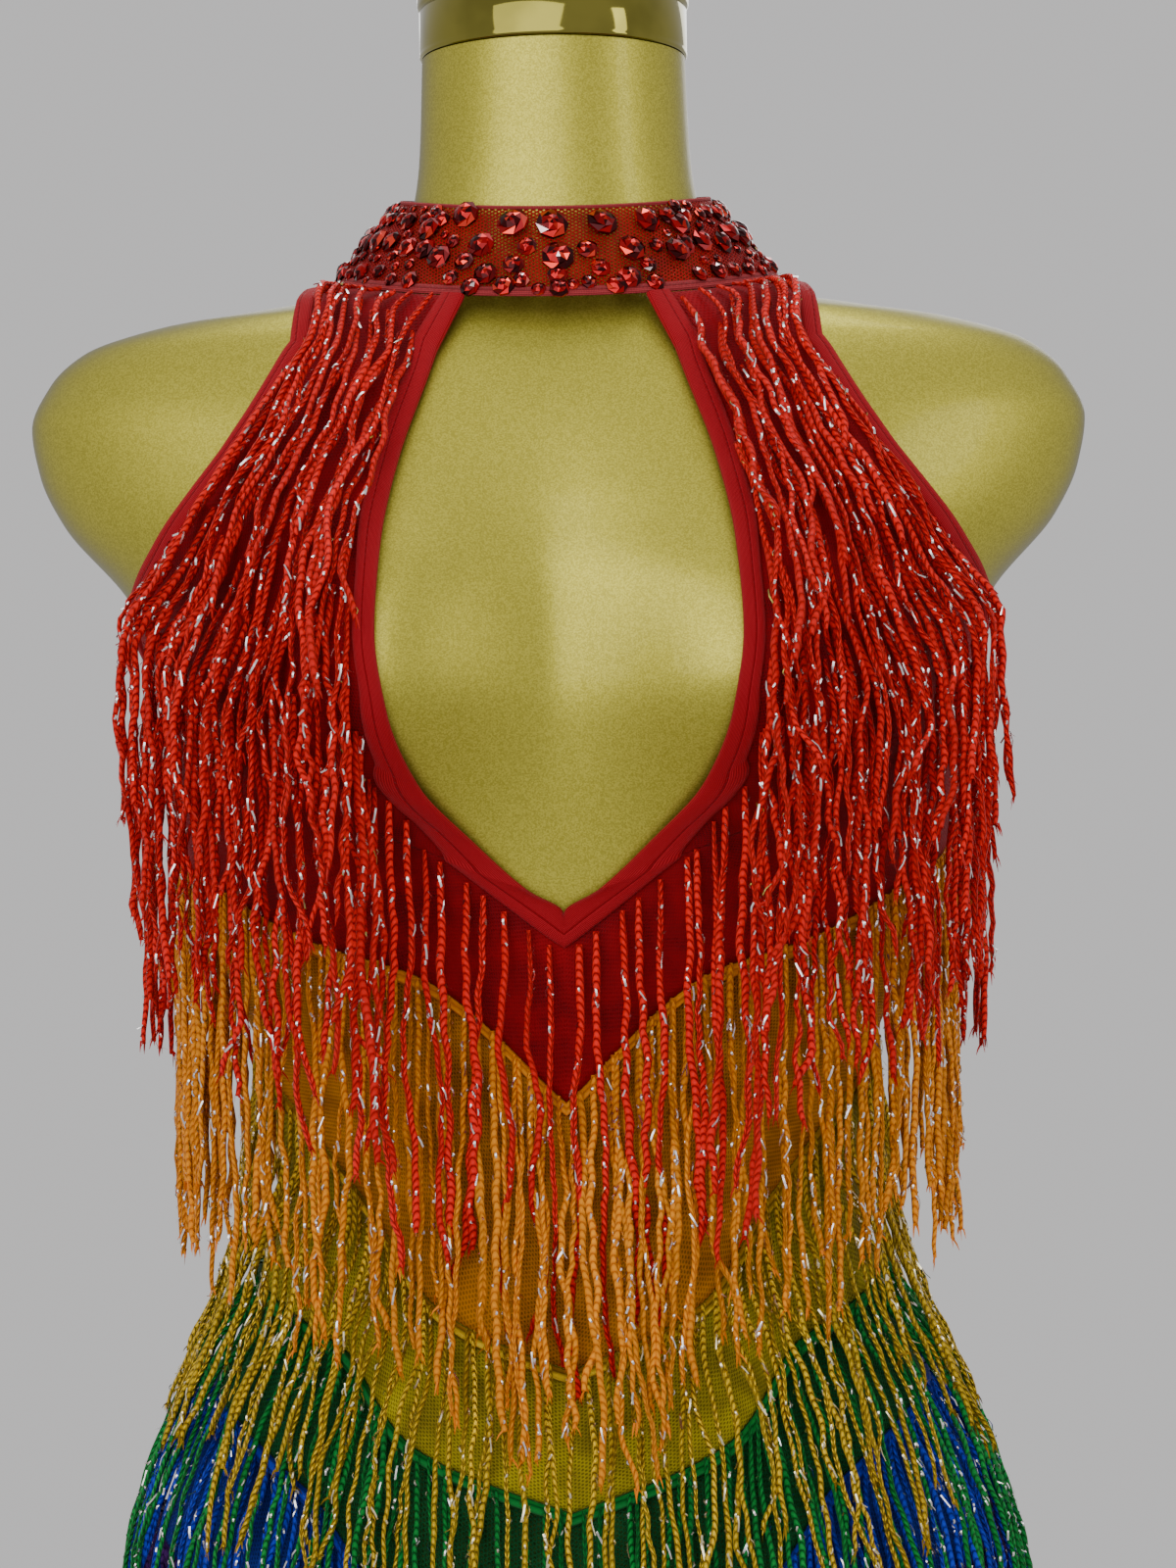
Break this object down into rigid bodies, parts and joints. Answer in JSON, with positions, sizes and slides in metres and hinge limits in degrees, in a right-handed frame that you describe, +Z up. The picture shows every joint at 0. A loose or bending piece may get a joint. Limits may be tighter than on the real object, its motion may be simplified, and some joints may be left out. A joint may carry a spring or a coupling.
{
  "type": "fringe bodysuit on a limbless dress form",
  "caption": "Halter-neck stretch bodysuit with a keyhole front, chevron mesh panels and rows of hanging fringe, worn by a smooth headless dress form that stands on its thigh stubs.",
  "frame": {"origin": "middle of the underside of the whole bounding box, at the level that the thigh stubs stand on", "axes": "+Z up along the neck, +X towards the wearer's left, -Y the way the wearer faces"},
  "size_m": [0.4, 0.268, 0.8363],
  "materials": {
    "form_gold": "gloss metallic flake",
    "cap_gold": "polished",
    "collar_crystal": "faceted red crystals over sheer mesh",
    "mesh_red": "fine stretch mesh",
    "binding_red": "ribbed elastic binding",
    "mesh_orange": "fine stretch mesh",
    "mesh_yellow": "open stretch mesh",
    "mesh_green": "open stretch mesh",
    "mesh_blue": "fine stretch mesh",
    "mesh_purple": "fine stretch mesh",
    "strand_red": "chainette fringe with silver flecks",
    "strand_orange": "chainette fringe with silver flecks",
    "strand_gold": "metallic chainette fringe",
    "strand_green": "chainette fringe with silver flecks",
    "strand_blue": "chainette fringe with silver flecks",
    "strand_purple": "chainette fringe with silver flecks"
  },
  "bodies": {
    "root": {"form_torso": "form_gold", "form_neck_cap": "cap_gold", "collar_band": "collar_crystal", "collar_hook_tape": "binding_red", "front_red": "mesh_red", "back_red": "mesh_red", "keyhole_binding": "binding_red", "armhole_binding_right": "binding_red", "armhole_binding_left": "binding_red", "back_binding": "binding_red", "front_orange": "mesh_orange", "back_orange": "mesh_orange", "front_yellow": "mesh_yellow", "back_yellow": "mesh_yellow", "front_green": "mesh_green", "back_green": "mesh_green", "front_blue": "mesh_blue", "back_blue": "mesh_blue", "front_purple": "mesh_purple", "back_purple": "mesh_purple", "leg_binding_right": "mesh_purple", "leg_binding_left": "mesh_purple", "fringe_orange_front": "strand_orange", "fringe_orange_back": "strand_orange", "fringe_gold_front": "strand_gold", "fringe_gold_back": "strand_gold", "fringe_green_front": "strand_green", "fringe_green_back": "strand_green", "fringe_blue_front": "strand_blue", "fringe_blue_back": "strand_blue", "fringe_purple_front": "strand_purple", "fringe_purple_back": "strand_purple", "fringe_red_collar_right": "strand_red", "fringe_red_collar_left": "strand_red", "fringe_red_chest_right": "strand_red", "fringe_red_chest_left": "strand_red", "fringe_red_bust_right": "strand_red", "fringe_red_bust_left": "strand_red", "fringe_red_keyhole_right": "strand_red", "fringe_red_keyhole_left": "strand_red", "fringe_red_back": "strand_red"}
  },
  "joints": []
}
